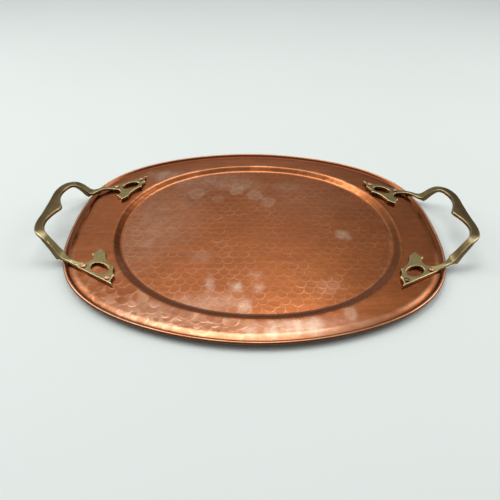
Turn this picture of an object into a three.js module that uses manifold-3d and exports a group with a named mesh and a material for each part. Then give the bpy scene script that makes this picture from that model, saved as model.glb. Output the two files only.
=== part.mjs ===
// Oval hammered copper tray with a wired edge and two riveted cast brass handles.
// Millimetres, +Z up. The origin is the middle of the underside of the floor.
// X runs along the tray, through both handles.

import * as THREE from 'three';
import { mergeVertices } from 'three/addons/utils/BufferGeometryUtils.js';
import Module from 'manifold-3d';

const wasm = await Module();
wasm.setup();

// Clearance between pieces that touch.
const GAP = 0.3;

// Tray outline: an ellipse that is swelled at its shoulders and squared at its ends.
// It was cut by hand, a little to the left of the middle between the handles.
const RING_STEPS = 80;
const TRAY_HALF_LENGTH = 204.8;
const TRAY_HALF_WIDTH = 155.5;
const TRAY_OFFSET_X = -2.7;
const SHOULDER_SWELL = 0.0275;
const END_SQUARING = 0.0085;

// Sheet and its levels, measured to the upper face.
const SHEET = 0.8;
const FLOOR_TOP = SHEET;
const RIM_INNER_TOP = FLOOR_TOP + 4.8;
const RIM_OUTER_TOP = RIM_INNER_TOP + 0.45;

// Well: the superellipse along the top of its wall, and the wall's plan width.
const WELL_HALF_LENGTH = 160.7;
const WELL_HALF_WIDTH = 130;
const WELL_EXPONENT = 2.17;
const WALL_RUN = 10;
const WALL_SHARE_INSIDE = 0.95;

// The wall's profile: shares of its run and of its rise.
const WALL_PROFILE = [[0, 0], [0.14, 0.06], [0.3, 0.26], [0.7, 0.74], [0.86, 0.94], [1, 1]];

// Turned-up edge: inset from the outline, and height above the rim.
const COVE_STEPS = [[10, 0], [6, 0.42], [4.2, 1.2]];
const COVE_SLOPE = THREE.MathUtils.degToRad(25);

// Edge rolled round a wire. The roll stops short of the sheet, so its inside stays open.
const ROLL_RADIUS = 1.7;
const ROLL_CENTRE_HEIGHT = 6.6;
const ROLL_STEPS = 8;
const ROLL_START = Math.PI / 2 + COVE_SLOPE;
const ROLL_END = THREE.MathUtils.degToRad(-168);
const WIRE_RADIUS = 0.55;
const WIRE_SIDES = 6;

// Rivets, as distances from the two middle planes of the tray.
const OUTER_RIVET = new THREE.Vector2(175.2, 69.5);
const INNER_RIVET = new THREE.Vector2(147, 84.8);
const RIVET_SIDES = 12;
const SHANK_RADIUS = 1.8;
const HEAD_RADIUS = 3.1;
const HEAD_HEIGHT = 1.9;
const TAIL_RADIUS = 2.7;
const TAIL_HEIGHT = 1.1;
const TAIL_TOP = RIM_INNER_TOP - SHEET - GAP;

// The four corners. Each foot was bent to its own angle, so it is turned about its outer rivet.
const CORNERS = [
  { side: 'left', end: 'front', x: -1, y: -1, turn: THREE.MathUtils.degToRad(1.2) },
  { side: 'left', end: 'back', x: -1, y: 1, turn: THREE.MathUtils.degToRad(4.5) },
  { side: 'right', end: 'front', x: 1, y: -1, turn: THREE.MathUtils.degToRad(-1.5) },
  { side: 'right', end: 'back', x: 1, y: 1, turn: THREE.MathUtils.degToRad(-5.5) },
];

// Handle feet.
const FOOT_BOTTOM = RIM_OUTER_TOP + 0.25;
const FOOT_THICKNESS = 3.6;
const FOOT_TOP = FOOT_BOTTOM + FOOT_THICKNESS;
const FOOT_BEVEL = 0.5;
const FOOT_WINDOW = { x: 158.7, y: 71.8, length: 21, width: 12.6, turn: THREE.MathUtils.degToRad(-28) };

// Handle bow: levels of its upper face where it crosses the rolled edge and where it is held.
const STRAP_TOP = 11.8;
const STRAP_DEPTH = 3.2;
const GRIP_TOP = 31;
const GRIP_DEPTH = 4.1;
const BOW_CHAMFER = 0.9;
const BOW_STEPS = 3;

// Stations along half of a bow, from its foot, over the heel and up the ramp, to its middle:
// inner edge x and y, outer edge x and y, level of the upper face, depth, outward lean of the lower face.
const INNER_EDGE = 0;
const OUTER_EDGE = 2;
const TOP = 4;
const DEPTH = 5;
const LEAN = 6;
const BOW_STATIONS = [
  [176.0, 63.9, 180.4, 71.8, FOOT_TOP, FOOT_THICKNESS, 0],
  [182.6, 63.4, 186.0, 68.8, FOOT_TOP + 0.9, 3.4, 0],
  [188.8, 61.2, 191.8, 65.7, STRAP_TOP, STRAP_DEPTH, 0],
  [196.0, 55.8, 198.3, 62.2, STRAP_TOP, STRAP_DEPTH, 0],
  [200.0, 50.5, 201.2, 60.6, STRAP_TOP + 0.4, 3.6, 2.4],
  [202.3, 48.9, 203.0, 59.6, 13.4, 5.8, 3.8],
  [204.3, 48.0, 204.6, 58.4, 15.7, 4.8, 4.2],
  [208.6, 46.3, 208.8, 56.0, 22.6, 3.4, 4.0],
  [213.2, 44.0, 214.4, 52.9, 28.3, 3.6, 2.9],
  [217.4, 40.3, 220.4, 48.8, 30.6, 4.0, 1.0],
  [220.8, 35.4, 227.6, 42.7, GRIP_TOP, GRIP_DEPTH, 0],
  [222.8, 29.5, 231.8, 32.6, GRIP_TOP, GRIP_DEPTH, 0],
  [223.2, 22.0, 232.6, 22.5, GRIP_TOP, GRIP_DEPTH, 0],
  [221.2, 14.0, 232.2, 13.5, GRIP_TOP, GRIP_DEPTH, 0],
  [218.2, 7.5, 232.0, 7.0, GRIP_TOP, GRIP_DEPTH, 0],
  [215.4, 2.2, 232.0, 2.2, GRIP_TOP, GRIP_DEPTH, 0],
  [214.9, 0.0, 232.0, 0.0, GRIP_TOP, GRIP_DEPTH, 0],
];

const copper = new THREE.MeshStandardMaterial({ color: 0x9c5a34, roughness: 0.42, metalness: 1 });
const wireMetal = new THREE.MeshStandardMaterial({ color: 0x6e6a66, roughness: 0.5, metalness: 1 });
const brass = new THREE.MeshStandardMaterial({ color: 0x8f8452, roughness: 0.45, metalness: 1 });
const rivetCopper = new THREE.MeshStandardMaterial({ color: 0xc48a6a, roughness: 0.3, metalness: 1 });

function ringAngles() {
  return Array.from({ length: RING_STEPS }, (_, i) => (2 * Math.PI * i) / RING_STEPS);
}

function outlineAt(angle) {
  const shoulders = SHOULDER_SWELL * (1 - Math.cos(4 * angle));
  const ends = END_SQUARING * (1 - Math.cos(6 * angle));
  const swell = 1 + shoulders + ends;
  return new THREE.Vector2(
    TRAY_OFFSET_X + TRAY_HALF_LENGTH * swell * Math.cos(angle),
    TRAY_HALF_WIDTH * swell * Math.sin(angle),
  );
}

// A ring of points at a distance inside the outline, measured square to it.
function edgeRing(inset, height) {
  const reach = 0.001;
  return ringAngles().map((angle) => {
    const along = outlineAt(angle + reach).sub(outlineAt(angle - reach)).normalize();
    const place = outlineAt(angle).sub(new THREE.Vector2(along.y, -along.x).multiplyScalar(inset));
    return new THREE.Vector3(place.x, place.y, height);
  });
}

// A ring of points that follows the well, at a distance outside the top of its wall.
function wellRing(outset, height) {
  const bend = 2 / WELL_EXPONENT;
  return ringAngles().map((angle) => {
    const c = Math.cos(angle);
    const s = Math.sin(angle);
    return new THREE.Vector3(
      (WELL_HALF_LENGTH + outset) * Math.sign(c) * Math.abs(c) ** bend,
      (WELL_HALF_WIDTH + outset) * Math.sign(s) * Math.abs(s) ** bend,
      height,
    );
  });
}

// Rings up the well's wall, from the floor to the rim, on the sheet's upper or lower face.
function wallRings(drop) {
  const rise = RIM_INNER_TOP - FLOOR_TOP;
  return WALL_PROFILE.map(([run, lift]) => (
    wellRing((run - WALL_SHARE_INSIDE) * WALL_RUN, FLOOR_TOP + lift * rise - drop)
  ));
}

function coveRings(drop) {
  return COVE_STEPS.map(([inset, lift]) => edgeRing(inset, RIM_OUTER_TOP + lift - drop));
}

// A ring at a distance and an angle from the middle of the rolled edge.
function rollRing(radius, angle) {
  return edgeRing(ROLL_RADIUS - radius * Math.cos(angle), ROLL_CENTRE_HEIGHT + radius * Math.sin(angle));
}

// Rings round the rolled edge, from where the cove meets it to its free end.
function rollRings(radius) {
  return Array.from({ length: ROLL_STEPS + 1 }, (_, i) => (
    rollRing(radius, THREE.MathUtils.lerp(ROLL_START, ROLL_END, i / ROLL_STEPS))
  ));
}

// Signed volume of a closed mesh: negative when its faces point inwards.
function signedVolume(positions, triangles) {
  const corner = (i) => new THREE.Vector3().fromArray(positions, 3 * triangles[i]);
  let volume = 0;
  for (let i = 0; i < triangles.length; i += 3) {
    volume += corner(i).dot(corner(i + 1).cross(corner(i + 2))) / 6;
  }
  return volume;
}

// A closed mesh through a row of sections with equal numbers of points.
// The two end sections are closed by flat caps, or joined to each other in a loop.
function skinSections(sections, loop = false) {
  const count = sections[0].length;
  const triangles = [];
  const bands = loop ? sections.length : sections.length - 1;
  for (let s = 0; s < bands; s += 1) {
    const here = s * count;
    const next = ((s + 1) % sections.length) * count;
    for (let i = 0; i < count; i += 1) {
      const j = (i + 1) % count;
      triangles.push(here + i, here + j, next + j, here + i, next + j, next + i);
    }
  }
  const last = (sections.length - 1) * count;
  for (let i = 1; !loop && i < count - 1; i += 1) {
    triangles.push(0, i + 1, i);
    triangles.push(last, last + i, last + i + 1);
  }
  const positions = sections.flat().flatMap((point) => point.toArray());
  if (signedVolume(positions, triangles) < 0) triangles.reverse();
  const geometry = new THREE.BufferGeometry();
  geometry.setAttribute('position', new THREE.Float32BufferAttribute(positions, 3));
  geometry.setIndex(triangles);
  return geometry;
}

function toSolid(geometry) {
  const bare = geometry.clone();
  bare.deleteAttribute('normal');
  bare.deleteAttribute('uv');
  const merged = mergeVertices(bare, 1e-4);
  return new wasm.Manifold(new wasm.Mesh({
    numProp: 3,
    vertProperties: new Float32Array(merged.attributes.position.array),
    triVerts: new Uint32Array(merged.index.array),
  }));
}

function toGeometry(solid) {
  const mesh = solid.getMesh();
  const geometry = new THREE.BufferGeometry();
  geometry.setAttribute('position', new THREE.BufferAttribute(mesh.vertProperties, 3));
  geometry.setIndex(new THREE.BufferAttribute(mesh.triVerts, 1));
  return geometry;
}

// The same geometry on the other side of one or both middle planes.
function mirrored(geometry, sideX, sideY) {
  const copy = geometry.index ? geometry.clone() : mergeVertices(geometry);
  copy.scale(sideX, sideY, 1);
  if (sideX * sideY < 0) copy.index.array.reverse();
  return copy;
}

// Rivet places at one corner, in its own quadrant: the inner one turns with the foot.
function rivetPlaces(corner) {
  const inner = INNER_RIVET.clone().rotateAround(OUTER_RIVET, -corner.turn);
  return { outer: OUTER_RIVET, inner };
}

// Removes the rivets' clearance holes at the given corners.
function drillRivetHoles(solid, corners) {
  const depth = 40;
  let drilled = solid;
  for (const corner of corners) {
    for (const place of Object.values(rivetPlaces(corner))) {
      const drill = new THREE.CylinderGeometry(SHANK_RADIUS + GAP, SHANK_RADIUS + GAP, depth, RIVET_SIDES);
      drill.rotateX(Math.PI / 2);
      drill.translate(corner.x * place.x, corner.y * place.y, 0);
      drilled = drilled.subtract(toSolid(drill));
    }
  }
  return drilled;
}

// One sheet: floor, wall, rim, turned-up edge and roll, then back along the lower face.
function trayBody() {
  const sheet = skinSections([
    ...wallRings(0),
    ...coveRings(0),
    ...rollRings(ROLL_RADIUS),
    ...rollRings(ROLL_RADIUS - SHEET).reverse(),
    ...coveRings(SHEET).reverse(),
    ...wallRings(SHEET).reverse(),
  ]);
  return toGeometry(drillRivetHoles(toSolid(sheet), CORNERS));
}

// The wire that the edge is rolled round.
function rimWire() {
  const rings = Array.from({ length: WIRE_SIDES }, (_, i) => (
    rollRing(WIRE_RADIUS, (2 * Math.PI * i) / WIRE_SIDES)
  ));
  return skinSections(rings, true);
}

// Outline of a leaf-shaped foot: straight outer edge, notched end, pointed lobe, one window.
function footOutline() {
  const leaf = new THREE.Shape();
  leaf.moveTo(181.2, 71.4);
  leaf.lineTo(140, 93.3);
  leaf.quadraticCurveTo(145.6, 88, 141.5, 80.5);
  leaf.quadraticCurveTo(146, 75.5, 144.8, 69);
  leaf.quadraticCurveTo(156, 63.5, 158.9, 49.6);
  leaf.quadraticCurveTo(161.5, 47, 166.3, 42.8);
  leaf.quadraticCurveTo(168.5, 48.5, 173.2, 51.2);
  leaf.quadraticCurveTo(166, 57, 172.5, 62.8);
  leaf.quadraticCurveTo(175.5, 64.4, 180, 63.7);
  const window = new THREE.Path();
  const { x, y, length, width, turn } = FOOT_WINDOW;
  window.absellipse(x, y, length / 2, width / 2, 0, 2 * Math.PI, true, turn);
  leaf.holes.push(window);
  return leaf;
}

// The foot at one corner, turned about its outer rivet.
function foot(corner) {
  const plate = new THREE.ExtrudeGeometry(footOutline(), {
    depth: FOOT_THICKNESS - 2 * FOOT_BEVEL,
    curveSegments: 6,
    bevelThickness: FOOT_BEVEL,
    bevelSize: FOOT_BEVEL,
    bevelOffset: -FOOT_BEVEL,
    bevelSegments: 1,
  });
  plate.translate(-OUTER_RIVET.x, -OUTER_RIVET.y, FOOT_BOTTOM + FOOT_BEVEL);
  plate.rotateZ(-corner.turn);
  plate.translate(OUTER_RIVET.x, OUTER_RIVET.y, 0);
  return mirrored(plate, corner.x, corner.y);
}

// Eight-cornered cross-section of the bow, between its inner and outer upper edges.
function bowSection(inner, outer, depth, lean) {
  const across = outer.clone().sub(inner).normalize();
  const down = new THREE.Vector3(lean, 0, -depth);
  const near = BOW_CHAMFER / down.length();
  const corner = (edge, inwards, share) => edge.clone()
    .addScaledVector(across, inwards)
    .addScaledVector(down, share);
  return [
    corner(inner, BOW_CHAMFER, 0),
    corner(outer, -BOW_CHAMFER, 0),
    corner(outer, 0, near),
    corner(outer, 0, 1 - near),
    corner(outer, -BOW_CHAMFER, 1),
    corner(inner, BOW_CHAMFER, 1),
    corner(inner, 0, 1 - near),
    corner(inner, 0, near),
  ];
}

// A smooth curve along one upper edge of half of a bow.
function bowEdge(column) {
  return new THREE.CatmullRomCurve3(BOW_STATIONS.map((row) => (
    new THREE.Vector3(row[column], row[column + 1], row[TOP])
  )));
}

// The bow of a handle: strap over the edge, heel, ramp and grip, from foot to foot.
function bow(sideX) {
  const inner = bowEdge(INNER_EDGE);
  const outer = bowEdge(OUTER_EDGE);
  const last = BOW_STATIONS.length - 1;
  const half = Array.from({ length: last * BOW_STEPS + 1 }, (_, i) => {
    const t = i / (last * BOW_STEPS);
    const station = Math.min(Math.floor(t * last), last - 1);
    const share = t * last - station;
    const between = (column) => (
      THREE.MathUtils.lerp(BOW_STATIONS[station][column], BOW_STATIONS[station + 1][column], share)
    );
    return bowSection(inner.getPoint(t), outer.getPoint(t), between(DEPTH), between(LEAN));
  });
  const otherHalf = half.slice(0, -1).reverse().map((section) => (
    section.map((point) => new THREE.Vector3(point.x, -point.y, point.z))
  ));
  return mirrored(skinSections([...half, ...otherHalf]), sideX, 1);
}

// One casting: the bow and its two feet, drilled for the rivets.
function handle(side) {
  const corners = CORNERS.filter((corner) => corner.side === side);
  let casting = toSolid(bow(corners[0].x));
  for (const corner of corners) {
    casting = casting.add(toSolid(foot(corner)));
  }
  return toGeometry(drillRivetHoles(casting, corners));
}

// Domed head on the foot, shank through foot and rim, hammered tail under the rim.
function rivet() {
  const headBottom = FOOT_TOP + GAP;
  const profile = [
    [0, TAIL_TOP - TAIL_HEIGHT],
    [TAIL_RADIUS * 0.75, TAIL_TOP - TAIL_HEIGHT * 0.8],
    [TAIL_RADIUS, TAIL_TOP],
    [SHANK_RADIUS, TAIL_TOP],
    [SHANK_RADIUS, headBottom],
    [HEAD_RADIUS, headBottom],
    [HEAD_RADIUS * 0.88, headBottom + HEAD_HEIGHT * 0.55],
    [HEAD_RADIUS * 0.5, headBottom + HEAD_HEIGHT * 0.9],
    [0, headBottom + HEAD_HEIGHT],
  ];
  const turned = new THREE.LatheGeometry(profile.map(([r, z]) => new THREE.Vector2(r, z)), RIVET_SIDES);
  turned.rotateX(Math.PI / 2);
  return toGeometry(toSolid(turned));
}

function addPiece(group, name, geometry, material) {
  const piece = new THREE.Mesh(geometry, material);
  piece.name = name;
  group.add(piece);
  return piece;
}

const tray = new THREE.Group();
addPiece(tray, 'tray_body', trayBody(), copper);
addPiece(tray, 'rim_wire', rimWire(), wireMetal);
addPiece(tray, 'handle_left', handle('left'), brass);
addPiece(tray, 'handle_right', handle('right'), brass);
for (const corner of CORNERS) {
  for (const [name, place] of Object.entries(rivetPlaces(corner))) {
    const piece = addPiece(tray, `rivet_${corner.side}_${corner.end}_${name}`, rivet(), rivetCopper);
    piece.position.set(corner.x * place.x, corner.y * place.y, 0);
  }
}

export default tray;
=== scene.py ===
import math

import bmesh
import bpy
import numpy as np
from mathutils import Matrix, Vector, noise


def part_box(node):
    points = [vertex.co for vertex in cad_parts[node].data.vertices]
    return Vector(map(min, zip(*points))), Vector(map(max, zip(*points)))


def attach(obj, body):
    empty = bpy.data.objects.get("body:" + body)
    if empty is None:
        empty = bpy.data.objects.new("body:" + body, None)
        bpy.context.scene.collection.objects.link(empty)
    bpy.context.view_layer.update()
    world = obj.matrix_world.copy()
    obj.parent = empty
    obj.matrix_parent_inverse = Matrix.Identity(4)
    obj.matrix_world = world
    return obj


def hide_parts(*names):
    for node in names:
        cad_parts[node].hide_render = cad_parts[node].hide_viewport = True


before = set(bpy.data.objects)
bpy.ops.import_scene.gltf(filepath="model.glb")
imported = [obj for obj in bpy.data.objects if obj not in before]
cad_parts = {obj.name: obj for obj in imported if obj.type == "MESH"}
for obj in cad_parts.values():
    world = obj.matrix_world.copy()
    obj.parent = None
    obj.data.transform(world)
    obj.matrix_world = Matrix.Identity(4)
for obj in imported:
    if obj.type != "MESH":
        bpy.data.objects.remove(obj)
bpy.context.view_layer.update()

# Lengths are in millimetres until a mesh is made. X runs through both handles, Y to the back, Z up.
MM = 0.001
TAU = 2 * math.pi

# Camera: place in millimetres, turn in degrees, lens and sensor in millimetres. The table's reach
# on each side is in metres.
CAMERA_PLACE = (-12.4, -350.5, 299.8)
CAMERA_TURN = (46.62, -0.87, 0.04)
CAMERA_LENS = 28.8
CAMERA_SENSOR = 36
TABLE_REACH = 6.0

# Lamps, in metres and watts: a strip over the back of the table and a softbox at each side.
LAMPS = [
    ("strip_lamp", (-0.2, 0.38, 1.26), (1.3, 0.3), 3.4),
    ("softbox_left", (-1.2, 0.3, 0.95), (0.7, 0.7), 5.0),
    ("softbox_right", (1.2, 0.3, 0.95), (0.7, 0.7), 4.6),
]

# The booth: its tint, and its brightness along each axis of the direction looked at, as the axis,
# its lowest and highest place, and (place, level) stops.
BOOTH_TINT = (1.0, 1.01, 1.005, 1)
BOOTH = [
    ("Z", 0, 1, [(0.0, 0.50), (0.1, 0.46), (0.25, 0.28), (0.50, 0.33), (0.58, 0.43), (0.68, 0.64),
                 (0.80, 0.95), (0.88, 1.2), (0.95, 1.45), (1.0, 1.2)]),
    ("Y", -1, 1, [(-0.3, 0.3), (0.05, 1.0)]),
    ("X", -1, 1, [(0.14, 1.0), (0.4, 0.42), (0.52, 0.5), (0.66, 1.3)]),
]

# The tray's outline: an ellipse, swelled at its shoulders and squared at its ends.
tray_low, tray_high = (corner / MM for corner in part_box("tray_body"))
SHOULDER_SWELL = 0.0275
END_SQUARING = 0.0085
CENTRE_X = (tray_low.x + tray_high.x) / 2
HALF_LENGTH = (tray_high.x - tray_low.x) / 2
HALF_WIDTH = (tray_high.y - tray_low.y) / 2 / (1 + 2 * END_SQUARING)

# Sheet and its levels, measured to the upper face.
SHEET = 0.8
FLOOR_TOP = SHEET
RIM_INNER_TOP = 5.6
RIM_OUTER_TOP = 6.05

# Well: the superellipse along the top of its wall, and the wall's width and fillets.
WELL_HALF_LENGTH = 160.7
WELL_HALF_WIDTH = 130.0
WELL_EXPONENT = 2.17
WALL_RUN = 10.0
WALL_SHARE_INSIDE = 0.95
WALL_FILLET = 0.36

# Shallow gutter inside the edge, measured in from the outline, with the share of its drop that it
# loses along the back; and the roll round the wire, whose turn is 0 towards the outside.
GUTTER_START = 12.0
GUTTER_FOOT = 4.6
GUTTER_DROP = 0.7
GUTTER_BACK_FADE = 0.6
ROLL_RADIUS = 1.7
ROLL_HEIGHT = 6.6
ROLL_START = math.radians(145)
ROLL_END = math.radians(-150)

# The short slope from the gutter's foot up to the roll: (share of its run, share of its rise).
SLOPE_STEPS = [(0.03, 0.01), (0.1, 0.1), (0.5, 0.5), (0.9, 0.9)]

# Mesh density of the sheet: cells along one side of the floor's grid, and rings over each zone.
FLOOR_CELLS = 384
RIM_RINGS = 34
WALL_RINGS = 16
GUTTER_RINGS = 8
ROLL_RINGS = 14

# Hammer blows. An edge is the width of a blow's rim as a share of its radius, and DISH_LEVEL sets
# how much of a blow lies below the sheet.
DISH_LEVEL = 0.75

# Scales on the floor.
SCALE_PITCH_X = 11.0
SCALE_PITCH_Y = 8.1
SCALE_RADII = np.array([6.3, 6.6])
SCALE_EDGE = 0.14

# Rows of larger blows on the rim, as shares of the way from START outside the well's line to END
# inside the outline. Then the angle between blows, and the place and reach of the strongest ones.
RIM_ROWS = (0.95, 0.74, 0.53, 0.32, 0.11)
RIM_BLOWS_START = 2.0
RIM_BLOWS_END = 10.0
RIM_STEP = 0.04
RIM_BLOW_DEPTH = 0.06
RIM_BLOW_EDGE = 0.16
STRONG_PLACE = np.array([-100, -112])
STRONG_REACH = np.array([88, 50])

# The side of every blow that gets the most painted highlight, its front side, and how much painted
# shade and light a blow's tilt adds to its tone from side to side.
HIGHLIGHT_SIDE = np.array([0.4, -0.92])
SHADE_PER_TILT = 5

# A small buckle in the rim beside the left front foot.
BUCKLE_PLACE = np.array([-166, -66])
BUCKLE_HEIGHT = 0.8

# Painted light along the edge: the painted shade of the gutter and its slope, and the roll's turn
# that gets the brightest painted highlight.
CREASE_SHADE = 1.5
ROLL_CREST = 1.75

# Pale places, some where polish has gone white and others a painted sheen where the booth is
# reflected, as (X, Y, reach in X, reach in Y, strength).
BLOOMS_AND_SHEEN = [
    (-20, 90, 34, 13, 0.3), (40, 88, 22, 10, 0.25), (98, -8, 9, 9, 0.85), (-48, -84, 6, 14, 0.5),
    (-22, -88, 8, 8, 0.8), (0, -88, 7, 7, 0.5), (-13, -112, 7, 11, 0.6), (-2, -72, 9, 8, 0.25),
    (-60, -45, 16, 10, 0.25), (12, -140, 7, 13, 0.8), (30, -138, 11, 12, 1.0),
    (50, -136, 10, 12, 1.0), (-8, -141, 7, 12, 0.6), (85, -120, 7, 14, 0.5),
    (70, -85, 16, 12, 0.2), (-105, 25, 46, 80, 0.2), (-128, -15, 26, 75, 0.18),
    (-115, 100, 34, 16, 0.4), (-125, 106, 20, 10, 0.35), (-45, -106, 42, 12, 0.4),
    (-90, -124, 75, 20, 0.28), (-60, 100, 60, 26, 0.3), (60, 60, 60, 50, 0.08),
    (20, -138, 110, 16, 0.3),
]

# Water spots at the back of the floor, with crisp edges: the same five values.
SPOTS = [
    (-76, 70, 10, 12, 0.4), (-48, 59, 8, 9, 0.3), (-25, 79, 9, 11, 0.5), (-2, 68, 10, 12, 0.4),
    (14, 55, 9, 11, 0.35),
]

# Painted glints: bright patches in the painted shade of the well's wall at the back, as (X, reach).
WALL_GLINTS = [(-125, 32), (-84, 8), (5, 15), (122, 28)]

# Handles: the size of the remeshing grid, and the bends of the arms that carry a painted
# highlight, in metres, as (distance from the middle, Y, reach).
CAST_GRID = 0.4
BRIGHT_BENDS = [(0.1935, -0.0695, 0.008), (0.2225, -0.047, 0.008)]

# Rivets: a spread tail under the rim, a shank, and a head whose seat is HEAD_SPACE below the top
# of the CAD piece. One rivet is tarnished.
TAIL_RADIUS = 2.6
TAIL_TOP = 4.5
SHANK_RADIUS = 1.8
HEAD_RADIUS = 3.0
HEAD_SPACE = 2.2
RIVET_SIDES = 40
DULL_RIVET = "rivet_right_front_inner"

rng = np.random.default_rng(7)


# ---------------------------------------------------------------- small tools

def smooth(low, high, value):
    """0 below low, 1 above high, and a smooth ramp between them."""
    t = np.clip((value - low) / (high - low), 0, 1)
    return t * t * (3 - 2 * t)


def waves(points, size, seed, octaves):
    """Smooth noise from -1 to 1 at each point, with features of about the given size."""
    shift = Vector((seed * 13.7, seed * 7.3, seed * 3.1))
    return np.array([
        noise.fractal(Vector(p) / size + shift, 1.0, 2.0, octaves) for p in points
    ])


def mesh_object(name, points, faces, replaced):
    """A smooth-shaded piece that stands for CAD nodes. Points are in millimetres."""
    mesh = bpy.data.meshes.new(name)
    mesh.from_pydata((np.asarray(points) * MM).tolist(), [], faces)
    work = bmesh.new()
    work.from_mesh(mesh)
    bmesh.ops.recalc_face_normals(work, faces=work.faces)
    work.to_mesh(mesh)
    work.free()
    mesh.shade_smooth()
    piece = bpy.data.objects.new(name, mesh)
    bpy.context.scene.collection.objects.link(piece)
    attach(piece, "root")
    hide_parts(*replaced)
    return piece


def add_values(piece, name, values):
    """Stores one number at each vertex, for the piece's material."""
    layer = piece.data.attributes.new(name, "FLOAT", "POINT")
    layer.data.foreach_set("value", np.asarray(values, np.float32))


# ---------------------------------------------------------------- the sheet's lines

def outline(angle):
    """Plan points of the tray's outer edge."""
    swell = (1 + SHOULDER_SWELL * (1 - np.cos(4 * angle))
             + END_SQUARING * (1 - np.cos(6 * angle)))
    x = CENTRE_X + HALF_LENGTH * swell * np.cos(angle)
    y = HALF_WIDTH * swell * np.sin(angle)
    return np.stack([x, y], -1)


def inside_outline(angle, inset):
    """Points at a distance inside the outline, measured square to it."""
    reach = 0.001
    along = outline(angle + reach) - outline(angle - reach)
    along /= np.linalg.norm(along, axis=-1, keepdims=True)
    outward = np.stack([along[:, 1], -along[:, 0]], -1)
    return outline(angle) - inset * outward


def well_line(angle, outset):
    """Plan points of the superellipse along the well, pushed out by a distance."""
    bend = 2 / WELL_EXPONENT
    c, s = np.cos(angle), np.sin(angle)
    x = (WELL_HALF_LENGTH + outset) * np.sign(c) * np.abs(c) ** bend
    y = (WELL_HALF_WIDTH + outset) * np.sign(s) * np.abs(s) ** bend
    return np.stack([x, y], -1)


def well_reach(points):
    """How far out each plan point is, from 0 at the middle to 1 at the well's line."""
    x = np.abs(points[:, 0]) / WELL_HALF_LENGTH
    y = np.abs(points[:, 1]) / WELL_HALF_WIDTH
    return (x ** WELL_EXPONENT + y ** WELL_EXPONENT) ** (1 / WELL_EXPONENT)


def at_back(angle):
    """0 at the front and the sides of the outline, and 1 along its back."""
    return smooth(0.1, 0.7, np.sin(angle))


def wall_lift(share):
    """The wall's rise at a share of its run: a straight slope between two fillets."""
    f = WALL_FILLET
    low = share ** 2 / (2 * f * (1 - f))
    middle = (share - f / 2) / (1 - f)
    high = 1 - (1 - share) ** 2 / (2 * f * (1 - f))
    return np.where(share < f, low, np.where(share < 1 - f, middle, high))


def floor_grid(cells, outset):
    """A square grid bent to fill the floor, and the order of its border points."""
    step = np.linspace(-1, 1, cells + 1)
    u, v = np.meshgrid(step, step, indexing="ij")
    wide = np.abs(u) >= np.abs(v)
    radius = np.where(wide, u, v)
    safe = np.where(radius == 0, 1, radius)
    turn = np.where(wide, math.pi / 4 * v / safe, math.pi / 2 - math.pi / 4 * u / safe)
    angle = np.arctan2(radius * np.sin(turn), radius * np.cos(turn)).ravel()
    points = np.abs(radius).ravel()[:, None] * well_line(angle, outset)
    index = np.arange((cells + 1) ** 2).reshape(cells + 1, cells + 1)
    half = cells // 2
    border = np.concatenate([
        index[-1, half:-1], index[:0:-1, -1], index[0, :0:-1], index[:-1, 0], index[-1, :half]
    ])
    quads = np.stack([index[:-1, :-1], index[1:, :-1], index[1:, 1:], index[:-1, 1:]], -1)
    return points, border, quads.reshape(-1, 4)


def sheet_rings(angle, upper):
    """Rings of the sheet from the wall's foot to the roll's free end, on one of its faces, each as
    its plan points and its level."""
    drop = 0 if upper else SHEET
    radius = ROLL_RADIUS - drop
    rings = []
    for share in np.linspace(0, 1, WALL_RINGS + 1):
        level = FLOOR_TOP + wall_lift(share) * (RIM_INNER_TOP - FLOOR_TOP) - drop
        rings.append((well_line(angle, (share - WALL_SHARE_INSIDE) * WALL_RUN), level))
    start = rings[-1][0]
    end = inside_outline(angle, GUTTER_START)
    for share in np.linspace(0, 1, RIM_RINGS + 1)[1:]:
        level = RIM_INNER_TOP + share * (RIM_OUTER_TOP - RIM_INNER_TOP) - drop
        rings.append((start + share * (end - start), level))
    depth = GUTTER_DROP * (1 - GUTTER_BACK_FADE * at_back(angle))
    for share in np.linspace(0, 1, GUTTER_RINGS + 1)[1:]:
        inset = GUTTER_START + share * (GUTTER_FOOT - GUTTER_START)
        sunk = depth * smooth(0, 1.1, share)
        rings.append((inside_outline(angle, inset), RIM_OUTER_TOP - sunk - drop))
    lip_inset = ROLL_RADIUS - radius * math.cos(ROLL_START)
    lip_level = ROLL_HEIGHT + radius * math.sin(ROLL_START)
    foot_level = rings[-1][1]
    for run, rise in SLOPE_STEPS:
        inset = GUTTER_FOOT + run * (lip_inset - GUTTER_FOOT)
        level = foot_level + rise * (lip_level - foot_level)
        rings.append((inside_outline(angle, inset), level))
    for turn in np.linspace(ROLL_START, ROLL_END, ROLL_RINGS + 1):
        inset = ROLL_RADIUS - radius * math.cos(turn)
        rings.append((inside_outline(angle, inset), ROLL_HEIGHT + radius * math.sin(turn)))
    return rings


def ring_points(rings):
    """All the points of some rings, one ring after another."""
    return np.concatenate([
        np.column_stack([plan, np.full(len(plan), level)]) for plan, level in rings
    ])


def sheet_face(cells, upper):
    """One face of the sheet: its points, the floor's quads, and lines of points that follow one
    another from the floor's border to the roll's free end."""
    around = 4 * cells
    angle = TAU * np.arange(around) / around
    plan, border, quads = floor_grid(cells, -WALL_SHARE_INSIDE * WALL_RUN)
    level = FLOOR_TOP if upper else FLOOR_TOP - SHEET
    floor = np.column_stack([plan, np.full(len(plan), level)])
    rings = sheet_rings(angle, upper)[1:]
    lines = [border] + [len(plan) + around * k + np.arange(around) for k in range(len(rings))]
    return np.concatenate([floor, ring_points(rings)]), quads, lines


def seam_faces(fine, coarse):
    """Triangles that join a closed line of points to one with half as many."""
    faces = []
    for k in range(len(coarse)):
        a, b, c = (int(fine[(2 * k + n) % len(fine)]) for n in range(3))
        d, e = int(coarse[k]), int(coarse[(k + 1) % len(coarse)])
        faces += [(a, b, d), (b, c, e), (b, e, d)]
    return faces


# ---------------------------------------------------------------- hammering

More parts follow.
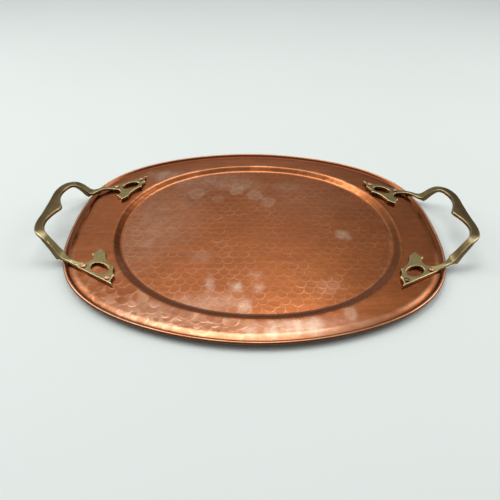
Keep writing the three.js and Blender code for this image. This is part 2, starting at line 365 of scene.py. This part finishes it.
def strike(plan, field, centre, radii, depth, edge, shine, tilt=(0, 0), tone=0.5):
    """One hammer blow: an oval dish struck over the blows before it, with a painted highlight along
    its rim on the front side. The field holds three rows: the height, the painted highlight and
    the tone at each plan point."""
    rim = 1 - edge * 0.6
    near = np.flatnonzero(np.abs(plan[:, 1] - centre[1]) < radii[1])
    near = near[np.abs(plan[near, 0] - centre[0]) < radii[0]]
    away = (plan[near] - centre) / radii
    q = np.hypot(away[:, 0], away[:, 1])
    near, away, q = near[q < 1], away[q < 1], q[q < 1]
    cover = smooth(1, 1 - edge, q)
    dish = depth * (q ** 2 - DISH_LEVEL) + away @ tilt
    # Painted highlight along the blow's rim, strongest on its front side.
    facing = smooth(-0.55, 0.75, away @ HIGHLIGHT_SIDE / np.maximum(q, 0.01))
    line = shine * facing * np.exp(-((q - rim) / (edge * 0.5)) ** 2)
    field[0, near] = field[0, near] * (1 - cover) + dish * cover
    field[1, near] = np.maximum(field[1, near] * (1 - cover), line)
    # The blow's own tone, plus painted shade and light that change with its tilt.
    field[2, near] = field[2, near] * (1 - cover) + (tone + SHADE_PER_TILT * (away @ tilt)) * cover


def hammer_floor(plan, field):
    """Rows of blows like fish scales: each row overlaps the one in front of it."""
    inside = well_reach(plan) < 0.985
    place, part = plan[inside], field[:, inside]
    rows = int(WELL_HALF_WIDTH / SCALE_PITCH_Y) + 1
    columns = int(WELL_HALF_LENGTH / SCALE_PITCH_X) + 2
    for row in range(-rows, rows + 1):
        drift = rng.uniform(-2, 2)
        for column in range(columns, -columns - 1, -1):
            wander = rng.normal(0, 0.7, 2)
            size = rng.uniform(0.9, 1.06)
            depth = rng.uniform(0.012, 0.05)
            x = (column + 0.5 * (row % 2)) * SCALE_PITCH_X + drift + wander[0]
            y = row * SCALE_PITCH_Y + wander[1] + 1.2 * math.sin(x / 37 + row)
            centre = np.array([x, y])
            clear = 0.45 + 0.5 * noise.noise(Vector((*centre, 4)) / 34)
            clear += 0.25 * float(smooth(-30, -100, centre[1]))
            clear += 0.25 * float(smooth(30, -50, centre[0]))
            shine = min(0.8, max(0.2, clear * rng.uniform(0.35, 1.2)))
            if well_reach(centre[None])[0] < 1.05:
                strike(place, part, centre, SCALE_RADII * size, depth, SCALE_EDGE, shine)
    field[:, inside] = part


def hammer_rim(plan, field):
    """Rows of larger blows round the rim, strong at the front left and faint elsewhere."""
    outside = well_reach(plan) > 0.99
    place, part = plan[outside], field[:, outside]
    for share in RIM_ROWS:
        for turn in rng.permutation(np.arange(0, TAU, RIM_STEP)):
            angle = np.array([turn + rng.normal(0, 0.006)])
            inner = well_line(angle, RIM_BLOWS_START)[0]
            outer = inside_outline(angle, RIM_BLOWS_END)[0]
            centre = inner + (share + rng.normal(0, 0.05)) * (outer - inner)
            far = math.hypot(*(centre - STRONG_PLACE) / STRONG_REACH)
            force = 0.1 + 0.9 * float(smooth(1.3, 0.45, far))
            force += 0.25 * float(smooth(-70, -115, centre[1]) * smooth(90, 20, centre[0]))
            force = min(1, force)
            tilt = force * rng.normal(0, 0.06, 2)
            tone = 0.5 + force * rng.uniform(-0.35, 0.35)
            radii = np.full(2, rng.uniform(5.0, 6.8))
            shine = force * rng.uniform(0.1, 0.6)
            depth = RIM_BLOW_DEPTH * force
            strike(place, part, centre, radii, depth, RIM_BLOW_EDGE, shine, tilt, tone)
    field[:, outside] = part


# ---------------------------------------------------------------- the tray

def radii_away(plan, x, y, reach_x, reach_y):
    """How far each plan point is from a spot's middle, in the spot's own radii."""
    return np.hypot((plan[:, 0] - x) / reach_x, (plan[:, 1] - y) / reach_y)


def bloom_and_sheen_at(plan):
    """How pale each plan point is: soft patches of dull polish gone white and of painted sheen,
    and crisp water stains with a paler outline.
    """
    flat = np.column_stack([plan, np.zeros(len(plan))])
    bent = plan + 3 * np.column_stack([waves(flat, 9, seed, 3) for seed in (1, 2)])
    left = np.ones(len(plan))
    for *spot, strength in BLOOMS_AND_SHEEN:
        left *= 1 - strength * smooth(1.3, 0.2, radii_away(bent, *spot))
    for *spot, strength in SPOTS:
        q = radii_away(bent, *spot)
        outer_line = np.exp(-((q - 0.9) / 0.12) ** 2)
        left *= 1 - strength * (0.8 * smooth(1.1, 0.75, q) + 0.3 * outer_line)
    return 1 - left


def buckle_at(plan):
    """The height of the buckle: a short, narrow rise that leans along the rim."""
    across, along = (plan - BUCKLE_PLACE).T
    return BUCKLE_HEIGHT * np.exp(-((across - 0.5 * along) / 5) ** 2 - (along / 13) ** 2)


def wall_shade(place, wall):
    """Painted shade on the well's wall: pale at the left end, and painted glints in a few patches
    at the back.
    """
    x, y = place[:, 0], place[:, 1]
    ragged = x + 8 * waves(place, 9, 21, 3)
    glint = sum(np.exp(-((ragged - middle) / reach) ** 4) for middle, reach in WALL_GLINTS)
    shade = wall * (1.3 - 1.2 * smooth(40, 75, y) * np.minimum(glint, 1))
    return shade * (1 - 0.85 * smooth(-120, -145, x))


def shape_sheet(points, under):
    """Hammer blows and slight unevenness on both faces of the sheet, and the masks for its
    material. The lower face, where under is true, is dull all over."""
    plan = points[:, :2].copy()
    field = np.zeros((3, len(points)))
    field[2] = 0.5
    hammer_rim(plan, field)
    hammer_floor(plan, field)
    relief, painted_highlight, tone = field
    level = points[:, 2] + SHEET * under
    place = np.column_stack([plan, level])
    reach = well_reach(plan)
    wall = smooth(0.925, 0.96, reach) * smooth(1.025, 0.985, reach)
    flat = 1 - smooth(RIM_OUTER_TOP + 0.3, RIM_OUTER_TOP + 1.2, level)
    fade = 1 - 0.8 * wall

    moved = points.copy()
    moved[:, 2] += flat * (relief * fade + buckle_at(plan))
    moved[:, 2] += 0.1 * waves(place, 60, 5, 2) * (reach >= 0.94)
    moved[:, 2] += 0.2 * waves(place * [1, 1, 0.3], 11, 6, 2) * wall

    # Painted highlights along the wall's creases: uneven along the crease at its foot, and along
    # its upper crease only at the back.
    foot = np.exp(-((reach - 0.931) / 0.005) ** 2) * (0.45 + 0.5 * waves(place, 2.5, 16, 2))
    brow = np.exp(-((reach - 1.0) / 0.008) ** 2) * smooth(40, 90, plan[:, 1])
    creases = np.clip(np.maximum(foot, 0.8 * brow), 0, 1)
    return moved, {
        "painted_highlight": np.maximum(painted_highlight * fade, creases) * flat * ~under,
        "tone": tone,
        # Painted shade on the well's wall, and the dull lower face.
        "patina_and_shade": np.maximum(wall_shade(place, wall), under),
        "bloom_and_sheen": bloom_and_sheen_at(plan) * (1 - wall) * ~under,
    }


def edge_shade_and_highlight(looks, around, end):
    """Painted shade on the gutter's outer wall, on the slope up to the roll and on the roll's
    sides.
    Painted highlights along the roll's top, at a turn that moves along the back, and at the front
    along the shoulder of the gutter. A ring has as many points as around says, and end is where
    the points of the upper face stop."""
    angle = TAU * np.arange(around) / around
    turn = np.repeat(np.linspace(ROLL_START, ROLL_END, ROLL_RINGS + 1), around)
    lean = turn + 0.7 * np.tile(at_back(angle), ROLL_RINGS + 1)
    roll = slice(end - len(turn), end)
    # Painted highlight along the roll's crest.
    looks["painted_highlight"][roll] = np.exp(-((lean - ROLL_CREST) / 0.55) ** 2)
    # Painted shade on the roll's outer side and under its free end.
    looks["patina_and_shade"][roll] = 2 * np.maximum(smooth(1.15, 0.6, lean), smooth(2.2, 2.5, turn))
    slope = slice(roll.start - len(SLOPE_STEPS) * around, roll.start)
    # Painted shade on the slope up to the roll.
    looks["patina_and_shade"][slope] = CREASE_SHADE
    share = np.repeat(np.linspace(0, 1, GUTTER_RINGS + 1)[1:], around)
    front = np.tile(smooth(0.1, -0.45, np.sin(angle)), GUTTER_RINGS)
    # Painted highlight along the gutter's shoulder at the front.
    shoulder = 0.45 * front * np.exp(-((share - 0.35) / 0.3) ** 2)
    gutter = slice(slope.start - len(share), slope.start)
    looks["painted_highlight"][gutter] = np.maximum(looks["painted_highlight"][gutter], shoulder)
    # Painted shade in the gutter, next to its foot.
    looks["patina_and_shade"][gutter] = CREASE_SHADE * smooth(0.7, 1, share)


def make_tray():
    """The sheet as one closed mesh. Its lower face has half as many points round it."""
    top, top_quads, top_lines = sheet_face(FLOOR_CELLS, True)
    bottom, low_quads, low_lines = sheet_face(FLOOR_CELLS // 2, False)
    base = len(top)
    low_lines = [line + base for line in low_lines]
    faces = [tuple(quad) for quad in np.concatenate([top_quads, low_quads + base]).tolist()]
    for lines in (top_lines, low_lines):
        for here, there in zip(lines[:-1], lines[1:]):
            ring = np.stack([here, np.roll(here, -1), np.roll(there, -1), there], -1)
            faces += [tuple(quad) for quad in ring.tolist()]
    faces += seam_faces(top_lines[-1], low_lines[-1])
    points = np.concatenate([top, bottom])
    shaped, looks = shape_sheet(points, np.arange(len(points)) >= base)
    edge_shade_and_highlight(looks, len(top_lines[-1]), base)
    piece = mesh_object("tray_body_hammered", shaped, faces, ["tray_body"])
    for name, values in looks.items():
        add_values(piece, name, values)
    return piece


# ---------------------------------------------------------------- handles

def make_handle(side):
    """The casting: the CAD shape with its edges softened and its surface a little uneven."""
    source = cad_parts["handle_" + side]
    piece = bpy.data.objects.new("handle_" + side + "_cast", source.data.copy())
    bpy.context.scene.collection.objects.link(piece)
    remesh = piece.modifiers.new("remesh", "REMESH")
    remesh.mode = "VOXEL"
    remesh.voxel_size = CAST_GRID * MM
    soften = piece.modifiers.new("soften", "SMOOTH")
    soften.factor = 0.5
    soften.iterations = 3
    bpy.context.view_layer.update()
    graph = bpy.context.evaluated_depsgraph_get()
    mesh = bpy.data.meshes.new_from_object(piece.evaluated_get(graph), depsgraph=graph)
    piece.modifiers.clear()
    piece.data = mesh
    mesh.materials.clear()
    points = np.zeros(3 * len(mesh.vertices))
    normals = np.zeros_like(points)
    mesh.vertices.foreach_get("co", points)
    mesh.vertex_normals.foreach_get("vector", normals)
    points, normals = points.reshape(-1, 3), normals.reshape(-1, 3)
    bumps = 0.09 * waves(points / MM, 9, 8, 2) + 0.02 * waves(points / MM, 2.2, 9, 2)
    mesh.vertices.foreach_set("co", (points + normals * bumps[:, None] * MM).ravel())
    mesh.shade_smooth()
    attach(piece, "root")
    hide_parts(source.name)
    return piece


# ---------------------------------------------------------------- rivets

def make_rivet(node):
    """A copper rivet: hammered dome on the foot, shank, and a spread tail under the rim."""
    low, high = (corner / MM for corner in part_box(node))
    centre = (low + high) / 2
    foot_top = high.z - HEAD_SPACE
    crown = foot_top + rng.uniform(1.4, 1.65)
    dome = [
        (HEAD_RADIUS * math.cos(t), foot_top + (crown - foot_top) * math.sin(t) ** 0.8)
        for t in np.linspace(0, math.pi / 2, 10)[:-1]
    ]
    tail = [
        (TAIL_RADIUS * math.sin(t), TAIL_TOP - (TAIL_TOP - low.z) * math.cos(t))
        for t in np.linspace(0, math.pi / 2, 7)[1:]
    ]
    profile = [*tail, (SHANK_RADIUS, TAIL_TOP), (SHANK_RADIUS, foot_top + 0.15),
               (HEAD_RADIUS * 0.93, foot_top - 0.05), *dome]
    around = RIVET_SIDES
    turns = [TAU * k / around for k in range(around)]
    points = np.array([
        (0, 0, low.z),
        *((radius * math.cos(turn), radius * math.sin(turn), level)
          for radius, level in profile for turn in turns),
        (0, 0, crown),
    ])
    last = len(points) - 1
    top = last - around
    faces = [(0, 1 + (k + 1) % around, 1 + k) for k in range(around)]
    for here in range(1, top, around):
        there = here + around
        for k in range(around):
            after = (k + 1) % around
            faces.append((here + k, here + after, there + after, there + k))
    faces += [(top + k, top + (k + 1) % around, last) for k in range(around)]
    lean = rng.normal(0, 0.05, 2)
    shaped = points + 0.12 * np.column_stack([
        waves(points + centre, 2.6, seed, 1) for seed in (11, 12, 13)
    ])
    shaped[:, 2] += (points[:, :2] @ lean) * (points[:, 2] > foot_top)
    shaped[:, :2] += np.array([centre.x, centre.y])
    return mesh_object(node + "_domed", shaped, faces, [node])


# ---------------------------------------------------------------- materials

class Shader:
    """A material under construction, with short calls for its nodes."""

    def __init__(self, name):
        self.material = bpy.data.materials.new(name)
        self.material.use_nodes = True
        self.tree = self.material.node_tree
        self.principled = self.tree.nodes["Principled BSDF"]
        self.place = self.tree.nodes.new("ShaderNodeTexCoord").outputs["Object"]

    def node(self, kind, inputs=None, **settings):
        """Adds a node, with its settings and the values or links of its inputs."""
        made = self.tree.nodes.new("ShaderNode" + kind)
        for name, value in settings.items():
            setattr(made, name, value)
        for name, value in (inputs or {}).items():
            self.feed(made.inputs[name], value)
        return made

    def feed(self, socket, value):
        """Links a socket to another one, or sets its value."""
        if isinstance(value, bpy.types.NodeSocket):
            self.tree.links.new(value, socket)
        else:
            socket.default_value = value

    def math(self, operation, a, b=0.0):
        """One sum on numbers or sockets."""
        return self.node("Math", {0: a, 1: b}, operation=operation).outputs[0]

    def noise(self, scale, detail, stretch=(1, 1, 1), distortion=0.0):
        """Noise with the given number of features per metre, stretched along the axes."""
        place = self.node("Mapping", {"Vector": self.place, "Scale": stretch}).outputs[0]
        made = self.node("TexNoise", {"Vector": place, "Scale": scale, "Detail": detail,
                                      "Distortion": distortion})
        return made.outputs["Fac"]

    def ramp(self, value, low, high, to_low=0.0, to_high=1.0):
        """The value carried from one range to another, and held at the ends."""
        return self.node("MapRange", {"Value": value, "From Min": low, "From Max": high,
                                      "To Min": to_low, "To Max": to_high}).outputs[0]

    def mix(self, share, a, b):
        """A share of colour b over colour a."""
        made = self.node("Mix", data_type="RGBA")
        self.feed(made.inputs["Factor"], share)
        self.feed(made.inputs[6], a)
        self.feed(made.inputs[7], b)
        return made.outputs[2]

    def value(self, name):
        """A number that the mesh stores at each vertex."""
        return self.node("Attribute", attribute_name=name).outputs["Fac"]

    def bump(self, height, depth, normal=None):
        """Fine relief, with its depth in millimetres, over any relief before it."""
        inputs = {"Height": height, "Distance": depth * MM, "Strength": 1.0}
        if normal is not None:
            inputs["Normal"] = normal
        return self.node("Bump", inputs).outputs[0]

    def finish(self, **inputs):
        """Feeds the surface's inputs and gives the material."""
        for name, value in inputs.items():
            self.feed(self.principled.inputs[name.replace("_", " ")], value)
        return self.material


def copper_material():
    """Polished copper with brushing, and with the stains, patina, painted highlights, painted sheen
    and painted shade that the mesh's masks place.
    """
    s = Shader("hammered_copper")
    painted_highlight, bloom_and_sheen = s.value("painted_highlight"), s.value("bloom_and_sheen")
    broad = s.noise(9, 4, (1, 1.3, 1), 0.6)
    mottle = s.noise(55, 5, (1, 1, 1), 0.4)
    streaks = s.noise(260, 4, (0.06, 1, 1))
    grain = s.noise(1500, 2)
    colour = s.mix(s.ramp(broad, 0.35, 0.68), (0.46, 0.13, 0.036, 1), (0.56, 0.165, 0.047, 1))
    colour = s.mix(s.ramp(mottle, 0.45, 0.75, 0, 0.4), colour, (0.36, 0.12, 0.05, 1))
    colour = s.mix(s.ramp(streaks, 0.4, 0.7, 0, 0.25), colour, (0.60, 0.21, 0.085, 1))
    brushed = s.noise(70, 5, (0.3, 1, 1), 1.6)
    colour = s.mix(s.ramp(brushed, 0.5, 0.68, 0, 0.28), colour, (0.34, 0.105, 0.042, 1))
    colour = s.mix(s.ramp(brushed, 0.47, 0.3, 0, 0.28), colour, (0.62, 0.22, 0.09, 1))
    # Each blow's tone, with painted shade and light from its tilt, gives a paler or a browner
    # colour.
    tone = s.value("tone")
    colour = s.mix(s.ramp(tone, 0.5, 1, 0, 0.8), colour, (0.74, 0.38, 0.22, 1))
    colour = s.mix(s.ramp(tone, 0.48, 0, 0, 0.85), colour, (0.37, 0.105, 0.04, 1))
    # Painted highlight: a pale colour along the blows' rims, the wall's creases, the roll's crest
    # and the gutter's shoulder.
    wear_and_highlight = s.math("MULTIPLY", painted_highlight, s.ramp(mottle, 0.35, 0.65, 0.7, 0.25))
    colour = s.mix(wear_and_highlight, colour, (0.82, 0.53, 0.34, 1))
    blotches = s.noise(95, 4, (1, 1, 1), 0.3)
    # Pale dull patches and stains, and painted sheen where light is reflected.
    pale_patches = s.math("MULTIPLY", bloom_and_sheen, s.ramp(blotches, 0.3, 0.66, 0.4, 1.15))
    colour = s.mix(s.ramp(pale_patches, 0, 1, 0, 0.9), colour, (0.78, 0.55, 0.40, 1))
    patina_and_shade = s.value("patina_and_shade")
    # Painted shade on the wall, the gutter and the roll, and the dull patina of the lower face.
    dark = s.math("MULTIPLY", s.ramp(patina_and_shade, 0, 1), s.ramp(mottle, 0.3, 0.7, 0.55, 0.85))
    colour = s.mix(dark, colour, (0.31, 0.095, 0.026, 1))
    # Deeper painted shade in the gutter, on its slope, on the roll's sides and in the darkest parts
    # of the wall.
    deep_shade = s.ramp(patina_and_shade, 1, 2, 0, 0.85)
    colour = s.mix(deep_shade, colour, (0.14, 0.07, 0.036, 1))
    roughness = s.math("ADD", s.ramp(streaks, 0.3, 0.7, 0.19, 0.24), s.ramp(pale_patches, 0, 1, 0, 0.1))
    roughness = s.math("ADD", roughness, s.ramp(deep_shade, 0, 1, 0, 0.25))
    normal = s.bump(streaks, 0.006)
    normal = s.bump(grain, 0.006, normal)
    return s.finish(Base_Color=colour, Metallic=1.0, Roughness=roughness, Normal=normal,
                    Coat_Weight=0.2, Coat_Roughness=0.14)


def brass_material():
    """Aged cast brass: edges bright from wear and painted highlight, painted highlights on the
    bends, painted shade on the sides and undersides, and dark hollows and grips.
    """
    s = Shader("cast_brass")
    edge = s.node("NewGeometry").outputs["Pointiness"]
    wear_and_highlight = s.ramp(edge, 0.51, 0.55)
    hollow = s.ramp(edge, 0.492, 0.45)
    facing = s.node("SeparateXYZ", {0: s.node("TexCoord").outputs["Normal"]}).outputs["Z"]
    patches = s.noise(60, 4, (1, 1, 1), 0.5)
    scratches = s.noise(900, 3, (0.12, 1, 1))
    grain = s.noise(1800, 3)
    colour = s.mix(s.ramp(patches, 0.35, 0.68), (0.27, 0.205, 0.085, 1), (0.43, 0.345, 0.16, 1))
    colour = s.mix(s.ramp(scratches, 0.45, 0.75, 0, 0.3), colour, (0.50, 0.41, 0.19, 1))
    # Painted shade on faces that do not look up: the sides and undersides.
    colour = s.mix(s.ramp(facing, 0.7, 0.1, 0, 0.8), colour, (0.13, 0.075, 0.03, 1))
    place = s.node("SeparateXYZ", {0: s.place}).outputs
    across = s.math("ABSOLUTE", place["X"])
    # The grips, beyond 0.2 m from the middle, are darker.
    grip_darkening = s.math("MULTIPLY", s.ramp(across, 0.2, 0.228), s.ramp(patches, 0.3, 0.7, 1.0, 0.75))
    colour = s.mix(grip_darkening, colour, (0.115, 0.072, 0.027, 1))
    # Painted highlights on the bends of the arms, on faces that look up.
    for x, y, reach in BRIGHT_BENDS:
        dx, dy = s.math("SUBTRACT", across, x), s.math("SUBTRACT", place["Y"], y)
        away = s.math("SQRT", s.math("ADD", s.math("MULTIPLY", dx, dx), s.math("MULTIPLY", dy, dy)))
        near = s.ramp(away, reach, reach * 0.3, 0, 0.75)
        bend_highlight = s.math("MULTIPLY", near, s.ramp(facing, 0.2, 0.7))
        colour = s.mix(bend_highlight, colour, (0.80, 0.65, 0.38, 1))
    # Edges lighter from wear and from painted highlight.
    colour = s.mix(s.math("MULTIPLY", wear_and_highlight, 0.85), colour, (0.90, 0.74, 0.45, 1))
    colour = s.mix(s.math("MULTIPLY", hollow, 0.85), colour, (0.06, 0.035, 0.015, 1))
    roughness = s.math("SUBTRACT", s.ramp(patches, 0.3, 0.7, 0.42, 0.3),
                       s.math("MULTIPLY", wear_and_highlight, 0.1))
    normal = s.bump(scratches, 0.025)
    normal = s.bump(grain, 0.02, normal)
    return s.finish(Base_Color=colour, Metallic=1.0, Roughness=roughness, Normal=normal)


def rivet_material(name, crown, hollows):
    """Copper with painted shade round the sides of the head and the tail."""
    s = Shader(name)
    facing = s.node("SeparateXYZ", {0: s.node("TexCoord").outputs["Normal"]}).outputs["Z"]
    facing = s.math("ABSOLUTE", facing)
    patches = s.noise(500, 3)
    colour = s.mix(s.ramp(patches, 0.35, 0.7), hollows, crown)
    # Painted shade where the surface faces sideways.
    colour = s.mix(s.ramp(facing, 0.85, 0.5, 0, 0.95), colour, (0.07, 0.03, 0.015, 1))
    roughness = s.ramp(patches, 0.3, 0.7, 0.5, 0.4)
    return s.finish(Base_Color=colour, Metallic=1.0, Roughness=roughness,
                    Normal=s.bump(patches, 0.03))


def wire_material():
    """Iron with rust."""
    s = Shader("iron_wire")
    rust = s.noise(500, 4, (1, 1, 1), 0.5)
    colour = s.mix(s.ramp(rust, 0.5, 0.7), (0.32, 0.30, 0.28, 1), (0.16, 0.07, 0.035, 1))
    return s.finish(Base_Color=colour, Metallic=s.ramp(rust, 0.5, 0.7, 1.0, 0.3),
                    Roughness=s.ramp(rust, 0.4, 0.7, 0.42, 0.75), Normal=s.bump(rust, 0.05))


def table_material():
    """Pale matt card."""
    s = Shader("pale_table")
    cloud = s.noise(3, 2)
    colour = s.mix(s.ramp(cloud, 0.3, 0.7), (0.87, 0.93, 0.90, 1), (0.885, 0.945, 0.915, 1))
    return s.finish(Base_Color=colour, Roughness=0.6)


# ---------------------------------------------------------------- stage

def make_stage():
    """The plain table that the tray lies on."""
    mesh = bpy.data.meshes.new("table_top")
    far = TABLE_REACH
    mesh.from_pydata([(-far, -far, 0), (far, -far, 0), (far, far, 0), (-far, far, 0)], [],
                     [(0, 1, 2, 3)])
    table = bpy.data.objects.new("table_top", mesh)
    bpy.context.scene.collection.objects.link(table)
    mesh.materials.append(table_material())


def booth_levels(tree, direction, low, high, levels):
    """The booth's brightness along one axis of the direction looked at."""
    place = tree.nodes.new("ShaderNodeMapRange")
    place.inputs["From Min"].default_value = low
    place.inputs["From Max"].default_value = high
    tree.links.new(direction, place.inputs["Value"])
    ramp = tree.nodes.new("ShaderNodeValToRGB")
    tree.links.new(place.outputs[0], ramp.inputs[0])
    stops = ramp.color_ramp.elements
    while len(stops) < len(levels):
        stops.new(0.5)
    for stop, (position, level) in zip(stops, levels):
        stop.position = (position - low) / (high - low)
        stop.color = (level, level, level, 1)
    return ramp.outputs[0]


def make_light():
    """A photo booth: pale walls behind and beside, a dim open front, and the lamps."""
    world = bpy.data.worlds.new("studio")
    bpy.context.scene.world = world
    world.use_nodes = True
    tree = world.node_tree
    background = tree.nodes["Background"]
    background.inputs["Color"].default_value = BOOTH_TINT
    split = tree.nodes.new("ShaderNodeSeparateXYZ")
    tree.links.new(tree.nodes.new("ShaderNodeTexCoord").outputs["Generated"], split.inputs[0])
    brightness, *others = (
        booth_levels(tree, split.outputs[axis], low, high, levels)
        for axis, low, high, levels in BOOTH
    )
    for other in others:
        product = tree.nodes.new("ShaderNodeMath")
        product.operation = "MULTIPLY"
        tree.links.new(brightness, product.inputs[0])
        tree.links.new(other, product.inputs[1])
        brightness = product.outputs[0]
    tree.links.new(brightness, background.inputs["Strength"])

    for name, place, size, power in LAMPS:
        data = bpy.data.lights.new(name, "AREA")
        data.shape = "RECTANGLE"
        data.size, data.size_y = size
        data.energy = power
        lamp = bpy.data.objects.new(name, data)
        bpy.context.scene.collection.objects.link(lamp)
        lamp.location = place
        lamp.rotation_euler = Vector(place).to_track_quat("Z", "Y").to_euler()


def make_camera():
    """The camera, above and in front of the tray."""
    data = bpy.data.cameras.new("camera")
    data.lens = CAMERA_LENS
    data.sensor_width = CAMERA_SENSOR
    data.clip_start = 0.01
    camera = bpy.data.objects.new("camera", data)
    bpy.context.scene.collection.objects.link(camera)
    camera.location = Vector(CAMERA_PLACE) * MM
    camera.rotation_euler = [math.radians(turn) for turn in CAMERA_TURN]
    bpy.context.scene.camera = camera


copper = copper_material()
make_tray().data.materials.append(copper)
brass = brass_material()
for side in ("left", "right"):
    make_handle(side).data.materials.append(brass)
rivet_copper = rivet_material("rivet_copper", (0.80, 0.43, 0.26, 1), (0.55, 0.25, 0.13, 1))
rivet_dull = rivet_material("rivet_tarnished", (0.33, 0.19, 0.13, 1), (0.10, 0.06, 0.04, 1))
for node in sorted(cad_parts):
    if node.startswith("rivet_"):
        dull = node == DULL_RIVET
        make_rivet(node).data.materials.append(rivet_dull if dull else rivet_copper)
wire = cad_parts["rim_wire"]
wire.data.materials.clear()
wire.data.materials.append(wire_material())

make_stage()
make_light()
make_camera()
bpy.context.scene.view_settings.view_transform = "Standard"

bpy.context.view_layer.update()
